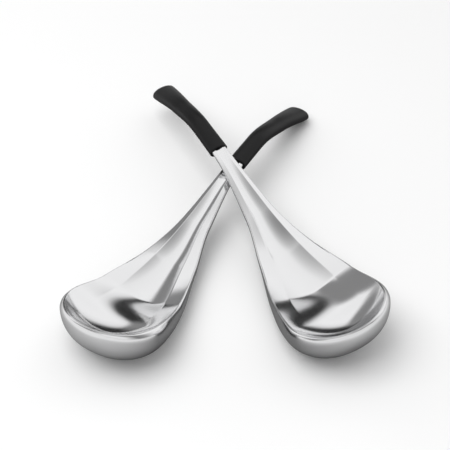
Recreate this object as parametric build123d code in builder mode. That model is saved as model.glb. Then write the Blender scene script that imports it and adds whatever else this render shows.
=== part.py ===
"""A pair of salad servers lying crossed on a table.

Each server is hollow steel with a black handle.  Its deep bowl is pressed from two sheets, a face
shell and a back shell, that meet in a crisp rim and run on into a slim closed stem.  A forged tang
plugs the stem and carries a moulded core, and a soft grip is moulded over the core and the collar.

One server is drawn in its own frame: +X runs from the tip of the bowl to the end of the handle,
+Y across it, +Z up, and z = 0 is the table that the bowl and the handle's end lie on.
Both servers are then placed in the frame of the pair.  All sizes are in millimetres.
"""

from build123d import *
import math
import os

# ---- Driving dimensions -------------------------------------------------------------------------

# Lengths along the server
server_length = 281.5
tip_radius = 30.0  # from the tip back to the centre of its rounding
shoulder_x = 62.0
throat_x = 96.0
neck_x = 130.0
collar_x = 185.5  # the mouth of the grip
stem_insertion = 21.0  # steel hidden inside the grip

# Half widths of the rim
bowl_half_width = 31.5
shoulder_half_width = 27.2
throat_half_width = 18.6
neck_half_width = 9.9
stem_half_width = 4.8

# Heights of the rim above the table
tip_rim_height = 41.0
bowl_rim_height = 31.5
shoulder_rim_height = 18.5
throat_rim_height = 14.6
neck_rim_height = 20.5
stem_rim_height = 31.0

# The hull: how far it swells outside the rim, and how far below the rim it is widest
tip_swell = 2.0
bowl_swell = 3.9
throat_swell = 1.0
stem_swell = 0.3
tip_swell_drop = 5.7
bowl_swell_drop = 8.0
throat_swell_drop = 2.6
stem_swell_drop = 1.2
hull_fullness = 0.64  # handle length of the section's curves: 0.552 draws an ellipse

# Heights of the keel above the table
shoulder_keel_height = 2.4
throat_keel_height = 4.4
neck_keel_height = 13.0
stem_keel_height = 25.8

# The face: a dish that narrows to a groove between two flat lands
dish_floor_height = 3.0
shoulder_floor_height = 5.8
dish_power = 2.5
shoulder_land_share = 0.62  # inner edge of each land, as a share of the half width
throat_land_share = 0.58
neck_land_share = 0.60
collar_land_share = 0.55
shoulder_groove = 8.0
throat_groove = 4.6
neck_groove = 2.6
collar_groove = 0.3
shoulder_land_fall = 3.0
throat_land_fall = -1.2  # below zero the land rises inward from the rim to a ridge
neck_land_fall = -2.0
collar_land_fall = -0.8

# Sheet metal
sheet = 1.0

# Handle
handle_waist_x = 212.0
handle_bend_x = 245.0
handle_mouth_half_width = 6.5
handle_waist_half_width = 6.2
handle_bend_half_width = 6.7
handle_flare_half_width = 8.3
handle_mouth_half_height = 4.35
handle_half_height = 5.0
handle_fullness = 0.60
handle_mouth_height = 28.9
handle_waist_height = 28.8
handle_bend_height = 19.8
handle_end_height = 4.2
handle_end_round = 5.0
grip_wall = 1.5

# Tang
plug_length = 16.0
tang_width = 6.0
tang_thickness = 2.2
tang_end_gap = 14.0  # from the tang's end to the end of the handle
tang_hole_radius = 1.3
tang_hole_count = 3

# How the pair lies
lower_place = (-53.7, -79.7)
lower_turn = 60.7
upper_place = (57.8, -74.3)
upper_turn = 117.8
upper_roll = -9.0
upper_start_pitch = 2.8  # settled on to the lower server further down
crossing_clearance = 0.3
pivot_x = 60.0  # the point of each server that its place and turn refer to

# ---- Laws along the server ----------------------------------------------------------------------

stem_end_x = collar_x + stem_insertion
ellipse = 0.5523  # handle length that draws a quarter ellipse
far_share = 1.35  # how far beyond the rim the tool that cuts the face reaches
end_squareness = 0.35  # 0.5 rounds the handle's end to an ellipse, less is squarer
tool_height = 120.0


def law(points, start_flat=False):
    """A smooth curve through (x, value) points that does not overshoot between them."""
    xs = [point[0] for point in points]
    ys = [point[1] for point in points]
    rises = [(ys[i + 1] - ys[i]) / (xs[i + 1] - xs[i]) for i in range(len(xs) - 1)]
    slopes = [0.0 if start_flat else rises[0]]
    for before, after in zip(rises, rises[1:]):
        slopes.append(0.0 if before * after <= 0 else 2 * before * after / (before + after))
    slopes.append(rises[-1])

    def value(x):
        i = max([k for k in range(len(xs) - 1) if xs[k] <= x], default=0)
        width = xs[i + 1] - xs[i]
        t = min(max((x - xs[i]) / width, 0.0), 1.0)
        level = (1 + 2 * t) * (1 - t) ** 2 * ys[i] + t * t * (3 - 2 * t) * ys[i + 1]
        lean = t * (1 - t) ** 2 * slopes[i] - t * t * (1 - t) * slopes[i + 1]
        return level + width * lean

    return value


def stations(tip, bowl, shoulder, throat, neck, stem):
    """A law from its values at the server's named stations."""
    return law(
        [
            (0.0, tip),
            (tip_radius, bowl),
            (shoulder_x, shoulder),
            (throat_x, throat),
            (neck_x, neck),
            (collar_x, stem),
            (stem_end_x, stem),
        ]
    )


half_width = law(
    [
        (tip_radius, bowl_half_width),
        (shoulder_x, shoulder_half_width),
        (throat_x, throat_half_width),
        (neck_x, neck_half_width),
        (collar_x, stem_half_width),
        (stem_end_x, stem_half_width),
    ],
    start_flat=True,
)
rim_height = stations(
    tip_rim_height,
    bowl_rim_height,
    shoulder_rim_height,
    throat_rim_height,
    neck_rim_height,
    stem_rim_height,
)
swell = law([(0.0, tip_swell), (tip_radius, bowl_swell), (throat_x, throat_swell), (collar_x, stem_swell)])
swell_drop = law(
    [
        (0.0, tip_swell_drop),
        (tip_radius, bowl_swell_drop),
        (throat_x, throat_swell_drop),
        (collar_x, stem_swell_drop),
    ]
)
keel_height = law(
    [
        (tip_radius, 0.0),
        (shoulder_x, shoulder_keel_height),
        (throat_x, throat_keel_height),
        (neck_x, neck_keel_height),
        (collar_x, stem_keel_height),
        (stem_end_x, stem_keel_height),
    ],
    start_flat=True,
)
groove = law(
    [
        (shoulder_x, shoulder_groove),
        (throat_x, throat_groove),
        (neck_x, neck_groove),
        (collar_x, collar_groove),
        (stem_end_x, collar_groove),
    ]
)
land_fall = law(
    [
        (shoulder_x, shoulder_land_fall),
        (throat_x, throat_land_fall),
        (neck_x, neck_land_fall),
        (collar_x, collar_land_fall),
        (stem_end_x, collar_land_fall),
    ]
)
land_share = law(
    [
        (shoulder_x, shoulder_land_share),
        (throat_x, throat_land_share),
        (neck_x, neck_land_share),
        (collar_x, collar_land_share),
    ]
)
floor_height = law([(tip_radius, dish_floor_height), (shoulder_x, shoulder_floor_height)], start_flat=True)
dish_share = law([(tip_radius, 1.0), (throat_x, 0.0)])


def across(x):
    """The plane square to the server at x, with its own x along +Y and its y up."""
    return Plane(origin=(x, 0, 0), x_dir=(0, 1, 0), z_dir=(1, 0, 0))


# ---- The hull -----------------------------------------------------------------------------------


def oval(x, middle, width, below, above, lower_fullness, upper_fullness):
    """A closed section from four quarter curves around (0, middle)."""
    corners = [(width, middle), (0, middle - below), (-width, middle), (0, middle + above)]
    fullness = [lower_fullness, lower_fullness, upper_fullness, upper_fullness]
    with BuildSketch(across(x)) as section:
        with BuildLine():
            for i, reach in enumerate(fullness):
                start, end = corners[i], corners[(i + 1) % 4]
                if i % 2 == 0:
                    first = (start[0], start[1] + reach * (end[1] - start[1]))
                    second = (end[0] + reach * (start[0] - end[0]), end[1])
                else:
                    first = (start[0] + reach * (end[0] - start[0]), start[1])
                    second = (end[0], end[1] + reach * (start[1] - end[1]))
                Bezier(start, first, second, end)
        make_face()
    return section.sketch


def hull_section(x, inset):
    """The hull's oval at x, drawn inset from the outside."""
    ahead = max(tip_radius - x, 0.0) / (tip_radius + tip_swell - inset)
    shrink = math.sqrt(1 - ahead**2)
    widest = half_width(max(x, tip_radius)) + swell(max(x, tip_radius))
    middle = rim_height(x) - swell_drop(x)
    rim = half_width(max(x, tip_radius))
    above = swell_drop(max(x, tip_radius)) / math.sqrt(1 - (rim / widest) ** 2)
    below = middle - keel_height(max(x, tip_radius))
    return oval(
        x,
        middle,
        (widest - inset) * shrink,
        (below - inset) * shrink,
        (above - inset) * shrink,
        hull_fullness,
        ellipse,
    )


def hull(inset, end_x):
    """The closed hull from the tip to end_x, inset from the outside."""
    reach = tip_radius + tip_swell - inset
    nose = [tip_radius - reach * math.cos(math.radians(angle)) for angle in (13, 26, 40, 55, 72)]
    body = [tip_radius + i * (collar_x - tip_radius) / 11 for i in range(12)]
    stem = [collar_x + stem_insertion / 2, end_x]
    tip = Vertex(tip_radius - reach, 0, rim_height(0) - swell_drop(0))
    with BuildPart() as solid:
        loft(sections=[tip] + [hull_section(x, inset) for x in nose + body + stem])
    return solid.part


# ---- The face -----------------------------------------------------------------------------------


def face_height(x, y, sink):
    """Height of the face at (x, y), or of the underside of the sheet that it is pressed from."""
    wide = half_width(max(x, tip_radius)) + sink
    ahead = max(tip_radius - x, 0.0) / (tip_radius + sink)
    share = math.hypot(ahead, y / wide)
    depth = rim_height(x) - floor_height(max(x, tip_radius))
    dish = depth * (1 - share**dish_power)
    ridge = land_share(x)
    if share > ridge:
        pressed = land_fall(x) * (1 - share) / (1 - ridge)
    else:
        pressed = land_fall(x) + groove(x) * (1 - (share / ridge) ** 2)
    blend = dish_share(x) if x > tip_radius else 1.0
    return rim_height(x) - sink - blend * dish - (1 - blend) * pressed


def face_curve(x, start, end, sink, count):
    """One stretch of the face's section, with the slope it has at both ends."""
    step = (end - start) / count
    points = [(start + i * step, face_height(x, start + i * step, sink)) for i in range(count + 1)]
    nudge = step * 0.02
    first = face_height(x, start + nudge, sink) - points[0][1]
    last = points[-1][1] - face_height(x, end - nudge, sink)
    Spline(*points, tangents=[(nudge, first), (nudge, last)])


def above_face_section(x, sink):
    """The region above the face in the plane at x."""
    ahead = max(tip_radius - x, 0.0) / tip_radius
    reach = half_width(max(x, tip_radius)) * math.sqrt(far_share**2 - ahead**2)
    edge = land_share(x) * half_width(max(x, tip_radius))
    with BuildSketch(across(x)) as section:
        with BuildLine():
            face_curve(x, -reach, -edge, sink, 4)
            face_curve(x, -edge, edge, sink, 6)
            face_curve(x, edge, reach, sink, 4)
            Polyline(
                (reach, face_height(x, reach, sink)),
                (reach, tool_height),
                (-reach, tool_height),
                (-reach, face_height(x, -reach, sink)),
            )
        make_face()
    return section.sketch


def above_face(sink):
    """Everything above the face, from ahead of the tip to past the stem's end."""
    nose = [-4.0, 0.0, 5.0, 11.0, 19.0]
    body = [tip_radius + i * (collar_x - tip_radius) / 14 for i in range(15)]
    stem = [collar_x + stem_insertion / 2, stem_end_x + 2.0]
    with BuildPart() as solid:
        loft(sections=[above_face_section(x, sink) for x in nose + body + stem])
    return solid.part


# ---- The handle ---------------------------------------------------------------------------------

handle_height = law(
    [
        (collar_x, handle_mouth_height),
        (handle_waist_x, handle_waist_height),
        (handle_bend_x, handle_bend_height),
        (server_length, handle_end_height),
    ]
)
handle_half_width = law(
    [
        (collar_x, handle_mouth_half_width),
        (handle_waist_x, handle_waist_half_width),
        (handle_bend_x, handle_bend_half_width),
        (server_length - handle_end_round, handle_flare_half_width),
        (server_length, handle_flare_half_width),
    ]
)
handle_thickness = law(
    [(collar_x, handle_mouth_half_height), (handle_waist_x, handle_half_height), (server_length, handle_half_height)]
)


def handle_section(x, inset):
    """The handle's section at x, drawn inset from the outside."""
    beyond = max(x - (server_length - handle_end_round), 0.0) / (handle_end_round - inset)
    shrink = (1 - beyond**2) ** end_squareness
    height = (handle_thickness(x) - inset) * shrink
    width = (handle_half_width(x) - inset) * shrink
    return oval(x, handle_height(x), width, height, height, handle_fullness, handle_fullness)


def handle(inset, start_x):
    """The handle's outside from start_x to its rounded end, inset all round."""
    reach = handle_end_round - inset
    round_x = server_length - handle_end_round
    ends = [round_x + reach * math.sin(math.radians(angle)) for angle in (20, 38, 54, 68, 80)]
    body = [start_x + i * (round_x - start_x) / 10 for i in range(11)]
    tip = Vertex(server_length - inset, 0, handle_height(server_length))
    with BuildPart() as solid:
        loft(sections=[handle_section(x, inset) for x in body + ends] + [tip])
    return solid.part


# ---- One server in its own frame ----------------------------------------------------------------

hull_outside = hull(0.0, stem_end_x)
hull_inside = hull(sheet, stem_end_x + 1.0)
over_face = above_face(0.0)
over_sheet = above_face(sheet)

with BuildPart() as steel_body:
    add(hull_outside)
    add(over_face, mode=Mode.SUBTRACT)

with BuildPart() as face_shell:
    add(steel_body.part)
    add(over_sheet, mode=Mode.INTERSECT)

with BuildPart() as back_shell:
    add(hull_outside)
    add(over_sheet, mode=Mode.SUBTRACT)
    add(hull_inside, mode=Mode.SUBTRACT)

with BuildPart() as plug:
    with Locations((stem_end_x - plug_length / 2, 0, stem_rim_height)):
        Box(plug_length, 40.0, 40.0)
    add(hull_inside, mode=Mode.INTERSECT)
    add(over_sheet, mode=Mode.SUBTRACT)

strap_end_x = server_length - tang_end_gap
strap_stations = [stem_end_x - plug_length / 2, stem_end_x, handle_waist_x, 228.0, handle_bend_x, strap_end_x]
strap_upper = [(x, handle_height(x) + tang_thickness / 2) for x in strap_stations]
strap_lower = [(x, handle_height(x) - tang_thickness / 2) for x in strap_stations]
hole_spacing = (strap_end_x - handle_waist_x) / tang_hole_count

with BuildPart() as tang:
    with BuildSketch(Plane.XZ):
        with BuildLine():
            Spline(*strap_upper)
            Line(strap_upper[-1], strap_lower[-1])
            Spline(*strap_lower)
            Line(strap_lower[0], strap_upper[0])
        make_face()
    extrude(amount=tang_width / 2, both=True)
    with BuildSketch(Plane.XY):
        for i in range(tang_hole_count):
            with Locations((handle_waist_x + (i + 0.5) * hole_spacing, 0)):
                Circle(tang_hole_radius)
    extrude(amount=tool_height, mode=Mode.SUBTRACT)
    add(plug.part)

core_envelope = handle(grip_wall, stem_end_x)

with BuildPart() as grip_core:
    add(core_envelope)
    add(tang.part, mode=Mode.SUBTRACT)

with BuildPart() as grip:
    add(handle(0.0, collar_x))
    add(core_envelope, mode=Mode.SUBTRACT)
    add(steel_body.part, mode=Mode.SUBTRACT)

# ---- The pair -----------------------------------------------------------------------------------

server = [face_shell.part, back_shell.part, tang.part, grip_core.part, grip.part]


def lying(place, turn, roll, pitch, lift):
    """The placement that puts a server's pivot at place, then turns, pitches and rolls it."""
    position = Location((place[0], place[1], lift)) * Location((0, 0, 0), (0, 0, turn))
    leaning = Location((0, 0, 0), (0, -pitch, 0)) * Location((0, 0, 0), (roll, 0, 0))
    return position * leaning * Location((-pivot_x, 0, 0))


def lowest(shapes):
    """Height of the lowest point of some shapes."""
    return min(shape.bounding_box().min.Z for shape in shapes)


# The lower server rests on its bowl and on the end of its handle.
lower_pitch = 0.0
for _ in range(3):
    resting = lying((0.0, 0.0), 0.0, 0.0, lower_pitch, 0.0)
    bowl_level = lowest([resting * back_shell.part])
    end_level = lowest([resting * grip.part])
    lower_pitch += math.degrees(math.atan2(bowl_level - end_level, server_length - tip_radius))
lower_level = lowest([lying((0.0, 0.0), 0.0, 0.0, lower_pitch, 0.0) * piece for piece in server])
lower = lying(lower_place, lower_turn, 0.0, lower_pitch, -lower_level)

# The upper server rests on its bowl and on the lower server, where the two cross.
lower_crossing = [lower * grip.part, lower * face_shell.part]
crossing_rise = math.radians(collar_x - pivot_x)  # what one degree of pitch adds at the crossing
upper_pitch = upper_start_pitch
for _ in range(5):
    leaning = lying(upper_place, upper_turn, upper_roll, upper_pitch, 0.0)
    upper = Location((0, 0, -lowest([leaning * back_shell.part]))) * leaning
    upper_crossing = [upper * grip.part, upper * back_shell.part]
    gap = min(one.distance_to(other) for one in upper_crossing for other in lower_crossing)
    if abs(gap - crossing_clearance) < 0.02:
        break
    upper_pitch -= (gap - crossing_clearance) / crossing_rise

# The middle of the pair is the origin.
boxes = [(place * piece).bounding_box() for place in (lower, upper) for piece in server]
middle_x = (min(box.min.X for box in boxes) + max(box.max.X for box in boxes)) / 2
middle_y = (min(box.min.Y for box in boxes) + max(box.max.Y for box in boxes)) / 2
print("middle", round(middle_x, 4), round(middle_y, 4))
print("lower pitch", round(lower_pitch, 4), "lift", round(lower.position.Z, 4))
print("upper pitch", round(upper_pitch, 4), "lift", round(upper.position.Z, 4), "gap", round(gap, 3))
lower = Location((-middle_x, -middle_y, 0)) * lower
upper = Location((-middle_x, -middle_y, 0)) * upper

# ---- The finished pieces ------------------------------------------------------------------------

os.makedirs("parts", exist_ok=True)

with BuildPart() as lower_face_shell:
    add(lower * face_shell.part)
lower_face_shell.part.label = "lower_face_shell"
export_step(lower_face_shell.part, "parts/lower_face_shell.step")

with BuildPart() as lower_back_shell:
    add(lower * back_shell.part)
lower_back_shell.part.label = "lower_back_shell"
export_step(lower_back_shell.part, "parts/lower_back_shell.step")

with BuildPart() as lower_tang:
    add(lower * tang.part)
lower_tang.part.label = "lower_tang"
export_step(lower_tang.part, "parts/lower_tang.step")

with BuildPart() as lower_grip_core:
    add(lower * grip_core.part)
lower_grip_core.part.label = "lower_grip_core"
export_step(lower_grip_core.part, "parts/lower_grip_core.step")

with BuildPart() as lower_grip:
    add(lower * grip.part)
lower_grip.part.label = "lower_grip"
export_step(lower_grip.part, "parts/lower_grip.step")

with BuildPart() as upper_face_shell:
    add(upper * face_shell.part)
upper_face_shell.part.label = "upper_face_shell"
export_step(upper_face_shell.part, "parts/upper_face_shell.step")

with BuildPart() as upper_back_shell:
    add(upper * back_shell.part)
upper_back_shell.part.label = "upper_back_shell"
export_step(upper_back_shell.part, "parts/upper_back_shell.step")

with BuildPart() as upper_tang:
    add(upper * tang.part)
upper_tang.part.label = "upper_tang"
export_step(upper_tang.part, "parts/upper_tang.step")

with BuildPart() as upper_grip_core:
    add(upper * grip_core.part)
upper_grip_core.part.label = "upper_grip_core"
export_step(upper_grip_core.part, "parts/upper_grip_core.step")

with BuildPart() as upper_grip:
    add(upper * grip.part)
upper_grip.part.label = "upper_grip"
export_step(upper_grip.part, "parts/upper_grip.step")
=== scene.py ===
"""A pair of polished steel salad servers with satin black grips, lying crossed on a pale table.

Lengths in the shape functions are millimetres in one server's own frame: +X from the tip of the
bowl to the end of the handle, +Y across, +Z up.  Meshes are turned into the row frame in metres.
"""

import math

import bmesh
import bpy
from mathutils import Matrix, Vector


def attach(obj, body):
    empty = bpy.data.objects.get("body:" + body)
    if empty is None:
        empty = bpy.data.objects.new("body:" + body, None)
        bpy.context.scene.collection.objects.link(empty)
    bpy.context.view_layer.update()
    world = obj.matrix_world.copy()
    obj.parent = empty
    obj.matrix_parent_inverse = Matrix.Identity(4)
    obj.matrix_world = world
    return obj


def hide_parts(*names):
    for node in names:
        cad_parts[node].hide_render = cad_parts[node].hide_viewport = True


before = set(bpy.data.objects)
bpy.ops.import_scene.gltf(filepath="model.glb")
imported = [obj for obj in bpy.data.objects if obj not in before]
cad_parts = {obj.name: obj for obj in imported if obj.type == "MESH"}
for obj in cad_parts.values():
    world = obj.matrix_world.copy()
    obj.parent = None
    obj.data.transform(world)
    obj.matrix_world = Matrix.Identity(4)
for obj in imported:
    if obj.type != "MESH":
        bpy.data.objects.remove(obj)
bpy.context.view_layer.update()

# ---- The servers' sizes -------------------------------------------------------------------------

SERVER_LENGTH = 281.5
TIP_RADIUS = 30.0
SHOULDER_X = 62.0
THROAT_X = 96.0
NECK_X = 130.0
COLLAR_X = 185.5
STEM_INSERTION = 21.0
STEM_END_X = COLLAR_X + STEM_INSERTION

BOWL_HALF_WIDTH = 31.5
SHOULDER_HALF_WIDTH = 27.2
THROAT_HALF_WIDTH = 18.6
NECK_HALF_WIDTH = 9.9
STEM_HALF_WIDTH = 4.8

TIP_RIM = 41.0
BOWL_RIM = 31.5
SHOULDER_RIM = 18.5
THROAT_RIM = 14.6
NECK_RIM = 20.5
STEM_RIM = 31.0

TIP_SWELL = 2.0
BOWL_SWELL = 3.9
THROAT_SWELL = 1.0
STEM_SWELL = 0.3
TIP_SWELL_DROP = 5.7
BOWL_SWELL_DROP = 8.0
THROAT_SWELL_DROP = 2.6
STEM_SWELL_DROP = 1.2
HULL_FULLNESS = 0.64
ELLIPSE = 0.5523

SHOULDER_KEEL = 2.4
THROAT_KEEL = 4.4
NECK_KEEL = 13.0
STEM_KEEL = 25.8

# The dish is shallower here than in the solids, whose floors are at 3.0 and 5.8 and whose power is 2.5
DISH_FLOOR = 19.0
SHOULDER_FLOOR = 9.0
DISH_POWER = 2.2
SHOULDER_LAND_SHARE = 0.62
THROAT_LAND_SHARE = 0.58
NECK_LAND_SHARE = 0.60
COLLAR_LAND_SHARE = 0.55
SHOULDER_GROOVE = 8.0
THROAT_GROOVE = 4.6
NECK_GROOVE = 2.6
COLLAR_GROOVE = 0.3
SHOULDER_LAND_FALL = 3.0
THROAT_LAND_FALL = -1.2
NECK_LAND_FALL = -2.0
COLLAR_LAND_FALL = -0.8
SHEET = 1.0

HANDLE_WAIST_X = 212.0
HANDLE_BEND_X = 245.0
MOUTH_HALF_WIDTH = 6.5
WAIST_HALF_WIDTH = 6.2
BEND_HALF_WIDTH = 6.7
FLARE_HALF_WIDTH = 8.3
MOUTH_HALF_HEIGHT = 4.35
HANDLE_HALF_HEIGHT = 5.0
HANDLE_FULLNESS = 0.60
MOUTH_HEIGHT = 28.9
WAIST_HEIGHT = 28.8
BEND_HEIGHT = 19.8
END_HEIGHT = 4.2
END_ROUND = 5.0
END_SQUARENESS = 0.35

# How the pair lies: where each server's pivot goes, its turn, roll and pitch in degrees, and its lift
PIVOT_X = 60.0
MIDDLE = (0.1079, -7.9841)  # the middle of the pair's box, taken off each place
PLACES = {
    "lower": {"place": (-53.7, -79.7), "turn": 60.7, "roll": 0.0, "pitch": -0.18, "lift": -0.0703},
    "upper": {"place": (57.8, -74.3), "turn": 117.8, "roll": -9.0, "pitch": 2.8559, "lift": 2.4579},
}

# ---- Laws along the server ----------------------------------------------------------------------


def law(points, start_flat=False):
    """A smooth curve through (x, value) points that does not overshoot between them."""
    xs = [point[0] for point in points]
    ys = [point[1] for point in points]
    rises = [(ys[i + 1] - ys[i]) / (xs[i + 1] - xs[i]) for i in range(len(xs) - 1)]
    slopes = [0.0 if start_flat else rises[0]]
    for before, after in zip(rises, rises[1:]):
        slopes.append(0.0 if before * after <= 0 else 2 * before * after / (before + after))
    slopes.append(rises[-1])

    def value(x):
        i = max([k for k in range(len(xs) - 1) if xs[k] <= x], default=0)
        width = xs[i + 1] - xs[i]
        t = min(max((x - xs[i]) / width, 0.0), 1.0)
        level = (1 + 2 * t) * (1 - t) ** 2 * ys[i] + t * t * (3 - 2 * t) * ys[i + 1]
        lean = t * (1 - t) ** 2 * slopes[i] - t * t * (1 - t) * slopes[i + 1]
        return level + width * lean

    return value


def stations(*values, tip=None):
    """A law from its values at the named stations, with or without one at the tip."""
    points = [] if tip is None else [(0.0, tip)]
    named = (TIP_RADIUS, SHOULDER_X, THROAT_X, NECK_X, COLLAR_X)
    points += list(zip(named, values)) + [(STEM_END_X, values[-1])]
    return law(points, start_flat=tip is None)


half_width = stations(
    BOWL_HALF_WIDTH,
    SHOULDER_HALF_WIDTH,
    THROAT_HALF_WIDTH,
    NECK_HALF_WIDTH,
    STEM_HALF_WIDTH,
)
rim_height = stations(BOWL_RIM, SHOULDER_RIM, THROAT_RIM, NECK_RIM, STEM_RIM, tip=TIP_RIM)
keel_height = stations(0.0, SHOULDER_KEEL, THROAT_KEEL, NECK_KEEL, STEM_KEEL)
swell = law([(0.0, TIP_SWELL), (TIP_RADIUS, BOWL_SWELL), (THROAT_X, THROAT_SWELL), (COLLAR_X, STEM_SWELL)])
swell_drop = law(
    [
        (0.0, TIP_SWELL_DROP),
        (TIP_RADIUS, BOWL_SWELL_DROP),
        (THROAT_X, THROAT_SWELL_DROP),
        (COLLAR_X, STEM_SWELL_DROP),
    ]
)
groove = law(
    [
        (SHOULDER_X, SHOULDER_GROOVE),
        (THROAT_X, THROAT_GROOVE),
        (NECK_X, NECK_GROOVE),
        (COLLAR_X, COLLAR_GROOVE),
        (STEM_END_X, COLLAR_GROOVE),
    ]
)
land_fall = law(
    [
        (SHOULDER_X, SHOULDER_LAND_FALL),
        (THROAT_X, THROAT_LAND_FALL),
        (NECK_X, NECK_LAND_FALL),
        (COLLAR_X, COLLAR_LAND_FALL),
        (STEM_END_X, COLLAR_LAND_FALL),
    ]
)
land_share = law(
    [
        (SHOULDER_X, SHOULDER_LAND_SHARE),
        (THROAT_X, THROAT_LAND_SHARE),
        (NECK_X, NECK_LAND_SHARE),
        (COLLAR_X, COLLAR_LAND_SHARE),
    ]
)
floor_height = law([(TIP_RADIUS, DISH_FLOOR), (SHOULDER_X, SHOULDER_FLOOR)], start_flat=True)
dish_share = law([(TIP_RADIUS, 1.0), (THROAT_X, 0.0)])


def face_height(x, y):
    """Height of the face at (x, y)."""
    wide = half_width(max(x, TIP_RADIUS))
    ahead = max(TIP_RADIUS - x, 0.0) / TIP_RADIUS
    share = math.hypot(ahead, y / wide)
    depth = rim_height(x) - floor_height(max(x, TIP_RADIUS))
    dish = depth * (1 - share**DISH_POWER)
    ridge = land_share(x)
    if share > ridge:
        pressed = land_fall(x) * (1 - share) / (1 - ridge)
    else:
        pressed = land_fall(x) + groove(x) * (1 - (share / ridge) ** 2)
    blend = dish_share(x) if x > TIP_RADIUS else 1.0
    return rim_height(x) - blend * dish - (1 - blend) * pressed


def quarter(across, fullness):
    """How far down a quarter curve is, as a share, where it is that far out."""
    low, high = 0.0, 1.0
    for _ in range(26):
        t = (low + high) / 2
        out = (1 - t) ** 3 + 3 * (1 - t) ** 2 * t + 3 * (1 - t) * t * t * fullness
        if out > across:
            low = t
        else:
            high = t
    t = (low + high) / 2
    return 3 * (1 - t) ** 2 * t * fullness + 3 * (1 - t) * t * t + t**3


def hull_point(x, y, inset, above=False):
    """Height of the hull's outside at (x, y), on its lower or its upper half."""
    body_x = max(x, TIP_RADIUS)
    ahead = max(TIP_RADIUS - x, 0.0) / (TIP_RADIUS + TIP_SWELL - inset)
    shrink = math.sqrt(max(1 - ahead**2, 1e-9))
    widest = half_width(body_x) + swell(body_x)
    middle = rim_height(x) - swell_drop(x)
    out = min(abs(y) / ((widest - inset) * shrink), 1.0)
    if above:
        rise = swell_drop(body_x) / math.sqrt(1 - (half_width(body_x) / widest) ** 2)
        return middle + (rise - inset) * shrink * quarter(out, ELLIPSE)
    below = middle - keel_height(body_x)
    return middle - (below - inset) * shrink * quarter(out, HULL_FULLNESS)


handle_height = law(
    [
        (COLLAR_X, MOUTH_HEIGHT),
        (HANDLE_WAIST_X, WAIST_HEIGHT),
        (HANDLE_BEND_X, BEND_HEIGHT),
        (SERVER_LENGTH, END_HEIGHT),
    ]
)
handle_half_width = law(
    [
        (COLLAR_X, MOUTH_HALF_WIDTH),
        (HANDLE_WAIST_X, WAIST_HALF_WIDTH),
        (HANDLE_BEND_X, BEND_HALF_WIDTH),
        (SERVER_LENGTH - END_ROUND, FLARE_HALF_WIDTH),
        (SERVER_LENGTH, FLARE_HALF_WIDTH),
    ]
)
handle_thickness = law(
    [(COLLAR_X, MOUTH_HALF_HEIGHT), (HANDLE_WAIST_X, HANDLE_HALF_HEIGHT), (SERVER_LENGTH, HANDLE_HALF_HEIGHT)]
)

# ---- Meshes -------------------------------------------------------------------------------------

BODY_STEPS = 150
ARC_STEPS = 120
DISH_STEPS = 24
LAND_STEPS = 30
FLANK_STEPS = 12
KEEL_STEPS = 48
INSIDE_STEPS = 12
SLEEVE_STEPS = 90
END_STEPS = 30
SLEEVE_SIDES = 72
UNDERSIDE_STRIDE = 3  # the underside has one ring for every so many of the face's
RIM_EDGE = 0.35  # how far the rounded rim reaches in, out and down
RIM_SHARE = 0.985  # where the face ends and its rounded rim begins, as a share of the half width
UNDERSIDE_SHARE = 0.99  # how wide the underside is, as a share of the face
INSIDE_SHARE = 0.955  # how wide the back shell's inside is, as a share of the hull
SLEEVE_LIP = 0.7
SLEEVE_GAP = 0.05  # between the collar's station and the sleeve's mouth


def placement(pose):
    """The matrix from one server's own frame in millimetres to the row frame in metres."""
    x, y = pose["place"]
    position = Matrix.Translation((x - MIDDLE[0], y - MIDDLE[1], pose["lift"]))
    turn = Matrix.Rotation(math.radians(pose["turn"]), 4, "Z")
    pitch = Matrix.Rotation(math.radians(-pose["pitch"]), 4, "Y")
    roll = Matrix.Rotation(math.radians(pose["roll"]), 4, "X")
    lean = pitch @ roll
    return Matrix.Scale(0.001, 4) @ position @ turn @ lean @ Matrix.Translation((-PIVOT_X, 0, 0))


def route():
    """Stations along the U that runs down one side of a server, round its tip and up the other."""
    span = STEM_END_X - TIP_RADIUS
    down = [("body", STEM_END_X - span * i / BODY_STEPS, 1.0) for i in range(BODY_STEPS)]
    tip = [("arc", math.pi * (0.5 - i / ARC_STEPS), 0.0) for i in range(ARC_STEPS + 1)]
    return down + tip + [(kind, x, -side) for kind, x, side in reversed(down)]


ROUTE = route()


def on_face(station, share, outward=0.0):
    """Plan position on the face at that share of the half width, moved outward in millimetres."""
    kind, along, side = station
    if kind == "body":
        return along, side * (share * half_width(along) + outward)
    reach = (share * TIP_RADIUS + outward, share * BOWL_HALF_WIDTH + outward)
    return TIP_RADIUS - reach[0] * math.cos(along), reach[1] * math.sin(along)


def on_hull(station, share):
    """Plan position on the hull at that share of its half width."""
    kind, along, side = station
    if kind == "body":
        return along, side * share * (half_width(along) + swell(along))
    reach = (share * (TIP_RADIUS + TIP_SWELL), share * (BOWL_HALF_WIDTH + BOWL_SWELL))
    return TIP_RADIUS - reach[0] * math.cos(along), reach[1] * math.sin(along)


def share_at(station, step):
    """The share of the half width at a step that is 0 in the middle, 1 on the ridge, 2 near the rim."""
    ridge = land_share(station[1] if station[0] == "body" else TIP_RADIUS)
    if step < 1:
        return ridge * step
    return ridge + (RIM_SHARE - ridge) * (step - 1)


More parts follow.
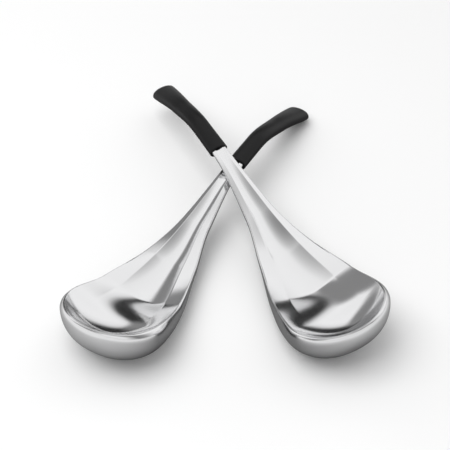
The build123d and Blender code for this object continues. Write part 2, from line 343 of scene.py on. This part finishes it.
def face_rings():
    """Rings of the face shell: the face from its middle to the rim, the rim, and the underside."""
    steps = [i / DISH_STEPS for i in range(DISH_STEPS)]
    steps += [1 + i / LAND_STEPS for i in range(LAND_STEPS + 1)]
    rings = []
    for step in steps:
        plan = [on_face(station, share_at(station, step)) for station in ROUTE]
        rings.append([(x, y, face_height(x, y)) for x, y in plan])
    plan = [on_face(station, 1.0, -RIM_EDGE) for station in ROUTE]
    rings.append([(x, y, min(face_height(x, y), rim_height(x) - 0.04)) for x, y in plan])
    plan = [on_face(station, 1.0, -0.4 * RIM_EDGE) for station in ROUTE]
    rings.append([(x, y, rim_height(x)) for x, y in plan])
    plan = [on_face(station, 1.0) for station in ROUTE]
    rings.append([(x, y, rim_height(x) - 0.4 * RIM_EDGE) for x, y in plan])
    rings.append([(x, y, rim_height(x) - 2 * RIM_EDGE) for x, y in plan])
    for step in reversed(steps[::UNDERSIDE_STRIDE]):
        plan = [on_face(station, UNDERSIDE_SHARE * share_at(station, step)) for station in ROUTE]
        rings.append([(x, y, face_height(x, y) - SHEET) for x, y in plan])
    return rings


def back_rings():
    """Rings of the back shell: under the rim, out to the hull's widest, down to the keel, back up."""
    rings = []
    for i in range(FLANK_STEPS):
        angle = math.pi / 2 * i / (FLANK_STEPS - 1)
        ring = []
        for station in ROUTE:
            x, y = on_face(station, 1.0)
            wide_x, wide_y = on_hull(station, 1.0)
            blend = math.sin(angle)
            x, y = x + (wide_x - x) * blend, y + (wide_y - y) * blend
            ceiling = rim_height(x) - RIM_EDGE * (1 + 0.5 * math.cos(angle))
            ring.append((x, y, min(hull_point(x, y, 0.0, above=True), ceiling)))
        rings.append(ring)
    for i in range(1, KEEL_STEPS + 1):
        share = math.cos(math.pi / 2 * i / KEEL_STEPS)
        plan = [on_hull(station, share) for station in ROUTE]
        rings.append([(x, y, hull_point(x, y, 0.0)) for x, y in plan])
    for i in range(INSIDE_STEPS):
        share = math.sin(math.pi / 2 * i / INSIDE_STEPS) * INSIDE_SHARE
        plan = [on_hull(station, share) for station in ROUTE]
        rings.append([(x, y, hull_point(x, y, 0.0) + SHEET) for x, y in plan])
    return rings


def handle_rings():
    """Rings of the grip: out of its mouth's rounded lip, along the sleeve, round its end."""
    lip = SLEEVE_LIP
    mouth_x = COLLAR_X + SLEEVE_GAP
    start = [(COLLAR_X + 6.0, 1.1), (COLLAR_X + 0.35, 1.1), (mouth_x, 0.75), (mouth_x, 0.6)]
    start += [(COLLAR_X + lip * (1 - math.cos(a)), lip * (1 - math.sin(a))) for a in (0.35, 0.7, 1.1, 1.57)]
    round_x = SERVER_LENGTH - END_ROUND
    length = round_x - COLLAR_X - lip
    body = [(COLLAR_X + lip + length * i / SLEEVE_STEPS, 0.0) for i in range(1, SLEEVE_STEPS + 1)]
    turns = [math.pi / 2 * i / END_STEPS for i in range(1, END_STEPS + 1)]
    ends = [(round_x + END_ROUND * math.sin(turn), 0.0) for turn in turns]
    rings = []
    for x, inset in start + body + ends:
        beyond = max(x - round_x, 0.0) / END_ROUND
        shrink = max(1 - beyond**2, 0.0) ** END_SQUARENESS
        wide = (handle_half_width(x) - inset) * shrink
        high = (handle_thickness(x) - inset) * shrink
        ring = []
        for i in range(SLEEVE_SIDES):
            angle = 2 * math.pi * i / SLEEVE_SIDES
            across = math.cos(angle)
            up = math.copysign(quarter(abs(across), HANDLE_FULLNESS), math.sin(angle))
            ring.append((x, across * wide, handle_height(x) + up * high))
        rings.append(ring)
    return rings


def piece(name, rings, pose, closed, slot, body, node):
    """A mesh through rings of points, which stands for one CAD node."""
    size = len(rings[0])
    matrix = placement(pose)
    vertices = [tuple(matrix @ Vector(point)) for ring in rings for point in ring]
    last = size if closed else size - 1
    faces = []
    for j in range(len(rings) - 1):
        for i in range(last):
            k = (i + 1) % size
            faces.append((j * size + i, (j + 1) * size + i, (j + 1) * size + k, j * size + k))
    if not closed:
        faces.append(tuple(j * size for j in range(len(rings))))
        faces.append(tuple(j * size + size - 1 for j in reversed(range(len(rings)))))
    mesh = bpy.data.meshes.new(name)
    mesh.from_pydata(vertices, [], faces)
    tidy = bmesh.new()
    tidy.from_mesh(mesh)
    bmesh.ops.remove_doubles(tidy, verts=tidy.verts, dist=1e-6)
    bmesh.ops.recalc_face_normals(tidy, faces=tidy.faces)
    tidy.to_mesh(mesh)
    tidy.free()
    mesh.shade_smooth()
    made = bpy.data.objects.new(name, mesh)
    bpy.context.scene.collection.objects.link(made)
    mesh.materials.append(MATERIALS[slot])
    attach(made, body)
    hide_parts(node)
    return made


# ---- Materials ----------------------------------------------------------------------------------


def plain_material(name):
    """A new node material, with its nodes and links."""
    material = bpy.data.materials.new(name)
    material.use_nodes = True
    return material, material.node_tree.nodes, material.node_tree.links


def polished_steel():
    """Mirror-polished stainless steel with the faint unevenness of hand buffing."""
    material, nodes, links = plain_material("polished_steel")
    shader = nodes["Principled BSDF"]
    shader.inputs["Metallic"].default_value = 1.0
    place = nodes.new("ShaderNodeTexCoord")
    haze = nodes.new("ShaderNodeTexNoise")
    haze.inputs["Scale"].default_value = 22.0
    haze.inputs["Detail"].default_value = 3.0
    links.new(place.outputs["Object"], haze.inputs["Vector"])
    gloss = nodes.new("ShaderNodeMapRange")
    gloss.inputs["To Min"].default_value = 0.13
    gloss.inputs["To Max"].default_value = 0.17
    links.new(haze.outputs["Fac"], gloss.inputs["Value"])
    links.new(gloss.outputs["Result"], shader.inputs["Roughness"])
    tone = nodes.new("ShaderNodeValToRGB")
    tone.color_ramp.elements[0].color = (0.80, 0.80, 0.81, 1.0)
    tone.color_ramp.elements[1].color = (0.86, 0.86, 0.865, 1.0)
    links.new(haze.outputs["Fac"], tone.inputs["Fac"])
    links.new(tone.outputs["Color"], shader.inputs["Base Color"])
    return material


def forged_steel():
    """Plain forged steel, duller and a little scaled."""
    material, nodes, links = plain_material("forged_steel")
    shader = nodes["Principled BSDF"]
    shader.inputs["Metallic"].default_value = 1.0
    shader.inputs["Roughness"].default_value = 0.42
    scale = nodes.new("ShaderNodeTexNoise")
    scale.inputs["Scale"].default_value = 240.0
    tone = nodes.new("ShaderNodeValToRGB")
    tone.color_ramp.elements[0].color = (0.38, 0.38, 0.39, 1.0)
    tone.color_ramp.elements[1].color = (0.56, 0.56, 0.57, 1.0)
    links.new(scale.outputs["Fac"], tone.inputs["Fac"])
    links.new(tone.outputs["Color"], shader.inputs["Base Color"])
    return material


def moulding(name, dark, light, roughness, grain):
    """A black moulding with a fine grain that breaks up its sheen."""
    material, nodes, links = plain_material(name)
    shader = nodes["Principled BSDF"]
    place = nodes.new("ShaderNodeTexCoord")
    noise = nodes.new("ShaderNodeTexNoise")
    noise.inputs["Scale"].default_value = 900.0
    noise.inputs["Detail"].default_value = 2.0
    links.new(place.outputs["Object"], noise.inputs["Vector"])
    tone = nodes.new("ShaderNodeValToRGB")
    tone.color_ramp.elements[0].color = (dark, dark, dark * 1.04, 1.0)
    tone.color_ramp.elements[1].color = (light, light, light * 1.04, 1.0)
    links.new(noise.outputs["Fac"], tone.inputs["Fac"])
    links.new(tone.outputs["Color"], shader.inputs["Base Color"])
    sheen = nodes.new("ShaderNodeMapRange")
    sheen.inputs["To Min"].default_value = roughness - 0.05
    sheen.inputs["To Max"].default_value = roughness + 0.05
    links.new(noise.outputs["Fac"], sheen.inputs["Value"])
    links.new(sheen.outputs["Result"], shader.inputs["Roughness"])
    shader.inputs["Specular IOR Level"].default_value = 0.18
    bump = nodes.new("ShaderNodeBump")
    bump.inputs["Strength"].default_value = grain
    bump.inputs["Distance"].default_value = 0.0001
    links.new(noise.outputs["Fac"], bump.inputs["Height"])
    links.new(bump.outputs["Normal"], shader.inputs["Normal"])
    return material


MATERIALS = {
    "polished_steel": polished_steel(),
    "forged_steel": forged_steel(),
    "hard_plastic": moulding("hard_plastic", 0.03, 0.05, 0.35, 0.1),
    "soft_grip": moulding("soft_grip", 0.005, 0.012, 0.38, 0.25),
}

# ---- The two servers ----------------------------------------------------------------------------

for side, pose in PLACES.items():
    body = f"{side}_server"
    piece(f"{side}_face", face_rings(), pose, False, "polished_steel", body, f"{side}_face_shell")
    piece(f"{side}_back", back_rings(), pose, False, "polished_steel", body, f"{side}_back_shell")
    piece(f"{side}_sleeve", handle_rings(), pose, True, "soft_grip", body, f"{side}_grip")
    for part, slot in (("tang", "forged_steel"), ("grip_core", "hard_plastic")):
        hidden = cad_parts[f"{side}_{part}"]
        hidden.data.materials.clear()
        hidden.data.materials.append(MATERIALS[slot])

# ---- The setting --------------------------------------------------------------------------------

TARGET = Vector((-MIDDLE[0] / 1000, -MIDDLE[1] / 1000, 0.0))
ELEVATION = math.radians(44.0)
DISTANCE = 1.2
LENS = 141.9
BOWLS = Vector((0.0, -0.09, 0.02))
FLOOR_REACH = 6.0
FLOOR_DROP = 0.0002  # keeps the table clear of the servers' lowest faces


def rectangle(name, wide, high):
    """A flat mesh that reaches that far to each side of its middle."""
    mesh = bpy.data.meshes.new(name)
    corners = [(-wide, -high, 0), (wide, -high, 0), (wide, high, 0), (-wide, high, 0)]
    mesh.from_pydata(corners, [], [(0, 1, 2, 3)])
    return mesh


def soft_card(name, centre, size, tone, softness):
    """A studio card that only glossy rays see, thinned out towards its oval edge."""
    wide, high = size[0] / 2, size[1] / 2
    mesh = rectangle(name, wide, high)
    card = bpy.data.objects.new(name, mesh)
    material, nodes, links = plain_material(name)
    nodes.remove(nodes["Principled BSDF"])
    place = nodes.new("ShaderNodeTexCoord")
    oval = nodes.new("ShaderNodeMapping")
    oval.inputs["Scale"].default_value = (1 / wide, 1 / high, 1.0)
    fade = nodes.new("ShaderNodeTexGradient")
    fade.gradient_type = "SPHERICAL"
    thin = nodes.new("ShaderNodeMapRange")
    thin.interpolation_type = "SMOOTHSTEP"
    thin.inputs["From Max"].default_value = softness
    glow = nodes.new("ShaderNodeEmission")
    glow.inputs["Strength"].default_value = tone
    clear = nodes.new("ShaderNodeBsdfTransparent")
    mix = nodes.new("ShaderNodeMixShader")
    links.new(place.outputs["Object"], oval.inputs["Vector"])
    links.new(oval.outputs["Vector"], fade.inputs["Vector"])
    links.new(fade.outputs["Fac"], thin.inputs["Value"])
    links.new(thin.outputs["Result"], mix.inputs["Fac"])
    links.new(clear.outputs["BSDF"], mix.inputs[1])
    links.new(glow.outputs["Emission"], mix.inputs[2])
    links.new(mix.outputs["Shader"], nodes["Material Output"].inputs["Surface"])
    mesh.materials.append(material)
    bpy.context.scene.collection.objects.link(card)
    card.location = centre
    card.rotation_euler = (BOWLS - Vector(centre)).to_track_quat("Z", "Y").to_euler()
    card.visible_camera = False
    card.visible_diffuse = False
    card.visible_shadow = False
    card.visible_transmission = False


def floor():
    """A pale table top that fills the view. For glossy rays its colour is painted dark close to the servers,
    a painted shade in place of the shadow under them.
    """
    mesh = rectangle("floor", FLOOR_REACH, FLOOR_REACH)
    plane = bpy.data.objects.new("floor", mesh)
    plane.location.z = -FLOOR_DROP
    material, nodes, links = plain_material("floor")
    shader = nodes["Principled BSDF"]
    path = nodes.new("ShaderNodeLightPath")
    tone = nodes.new("ShaderNodeMix")
    tone.data_type = "RGBA"
    place = nodes.new("ShaderNodeTexCoord")
    # Painted shade: glossy rays see the floor at 0.18 within 0.12 m of its middle, rising to 0.8 by 0.22 m,
    # to stand in for the servers' shadow
    radius = nodes.new("ShaderNodeVectorMath")
    radius.operation = "LENGTH"
    outward = nodes.new("ShaderNodeMapRange")
    outward.inputs["From Min"].default_value = 0.12
    outward.inputs["From Max"].default_value = 0.22
    outward.inputs["To Min"].default_value = 0.18
    outward.inputs["To Max"].default_value = 0.8
    links.new(place.outputs["Object"], radius.inputs[0])
    links.new(radius.outputs["Value"], outward.inputs["Value"])
    links.new(path.outputs["Is Glossy Ray"], tone.inputs["Factor"])
    tone.inputs["A"].default_value = (0.93, 0.93, 0.93, 1.0)
    links.new(outward.outputs["Result"], tone.inputs["B"])
    links.new(tone.outputs["Result"], shader.inputs["Base Color"])
    shader.inputs["Roughness"].default_value = 0.9
    shader.inputs["Specular IOR Level"].default_value = 0.2
    mesh.materials.append(material)
    bpy.context.scene.collection.objects.link(plane)


# How bright the tent is at each angle, in degrees round from the far side to the camera's side
TENT = [(0, 0.02), (22, 0.03), (33, 0.85), (45, 1.0), (80, 0.95), (95, 0.6), (110, 0.3), (128, 0.2)]
TENT += [(140, 0.5), (155, 0.9), (180, 0.9)]


def surroundings():
    """White to the camera; to the steel a light tent, open to the dark at its far side."""
    world = bpy.data.worlds.new("tent")
    bpy.context.scene.world = world
    world.use_nodes = True
    nodes, links = world.node_tree.nodes, world.node_tree.links
    nodes.clear()
    output = nodes.new("ShaderNodeOutputWorld")
    mix = nodes.new("ShaderNodeMixShader")
    white = nodes.new("ShaderNodeBackground")
    tent = nodes.new("ShaderNodeBackground")
    path = nodes.new("ShaderNodeLightPath")
    place = nodes.new("ShaderNodeTexCoord")
    split = nodes.new("ShaderNodeSeparateXYZ")
    angle = nodes.new("ShaderNodeMath")
    angle.operation = "ARCCOSINE"
    share = nodes.new("ShaderNodeMath")
    share.operation = "DIVIDE"
    share.inputs[1].default_value = math.pi
    ramp = nodes.new("ShaderNodeValToRGB")
    links.new(place.outputs["Generated"], split.inputs["Vector"])
    links.new(split.outputs["Y"], angle.inputs[0])
    links.new(angle.outputs["Value"], share.inputs[0])
    links.new(share.outputs["Value"], ramp.inputs["Fac"])
    stops = ramp.color_ramp.elements
    stops.remove(stops[1])
    for i, (degrees, level) in enumerate(TENT):
        stop = stops[0] if i == 0 else stops.new(degrees / 180)
        stop.position = degrees / 180
        stop.color = (level, level, level, 1.0)
    links.new(ramp.outputs["Color"], tent.inputs["Color"])
    links.new(path.outputs["Is Camera Ray"], mix.inputs["Fac"])
    links.new(tent.outputs["Background"], mix.inputs[1])
    links.new(white.outputs["Background"], mix.inputs[2])
    links.new(mix.outputs["Shader"], output.inputs["Surface"])
    white.inputs["Color"].default_value = (1.0, 1.0, 1.0, 1.0)
    white.inputs["Strength"].default_value = 1.0
    tent.inputs["Strength"].default_value = 1.0


def softbox(name, location, size, power):
    """A soft rectangular studio light aimed at the servers."""
    light = bpy.data.lights.new(name, "AREA")
    light.shape = "RECTANGLE"
    light.size, light.size_y = size
    light.energy = power
    lamp = bpy.data.objects.new(name, light)
    bpy.context.scene.collection.objects.link(lamp)
    lamp.location = location
    lamp.rotation_euler = (TARGET - Vector(location)).to_track_quat("-Z", "Y").to_euler()
    lamp.visible_glossy = False


def camera():
    """The camera, at the height and distance that show the pair as it lies."""
    lens = bpy.data.cameras.new("camera")
    lens.lens = LENS
    lens.sensor_width = 36.0
    lens.clip_end = 50.0
    eye = bpy.data.objects.new("camera", lens)
    bpy.context.scene.collection.objects.link(eye)
    eye.location = TARGET + Vector((0.0, -DISTANCE * math.cos(ELEVATION), DISTANCE * math.sin(ELEVATION)))
    eye.rotation_euler = (TARGET - eye.location).to_track_quat("-Z", "Y").to_euler()
    bpy.context.scene.camera = eye


floor()
surroundings()
softbox("key", location=(-0.5, -0.2, 1.3), size=(1.2, 1.2), power=11.0)
soft_card("grey_side", centre=(-0.56, 0.64, 0.25), size=(1.0, 1.0), tone=0.25, softness=0.5)
camera()
bpy.context.scene.view_settings.view_transform = "Standard"
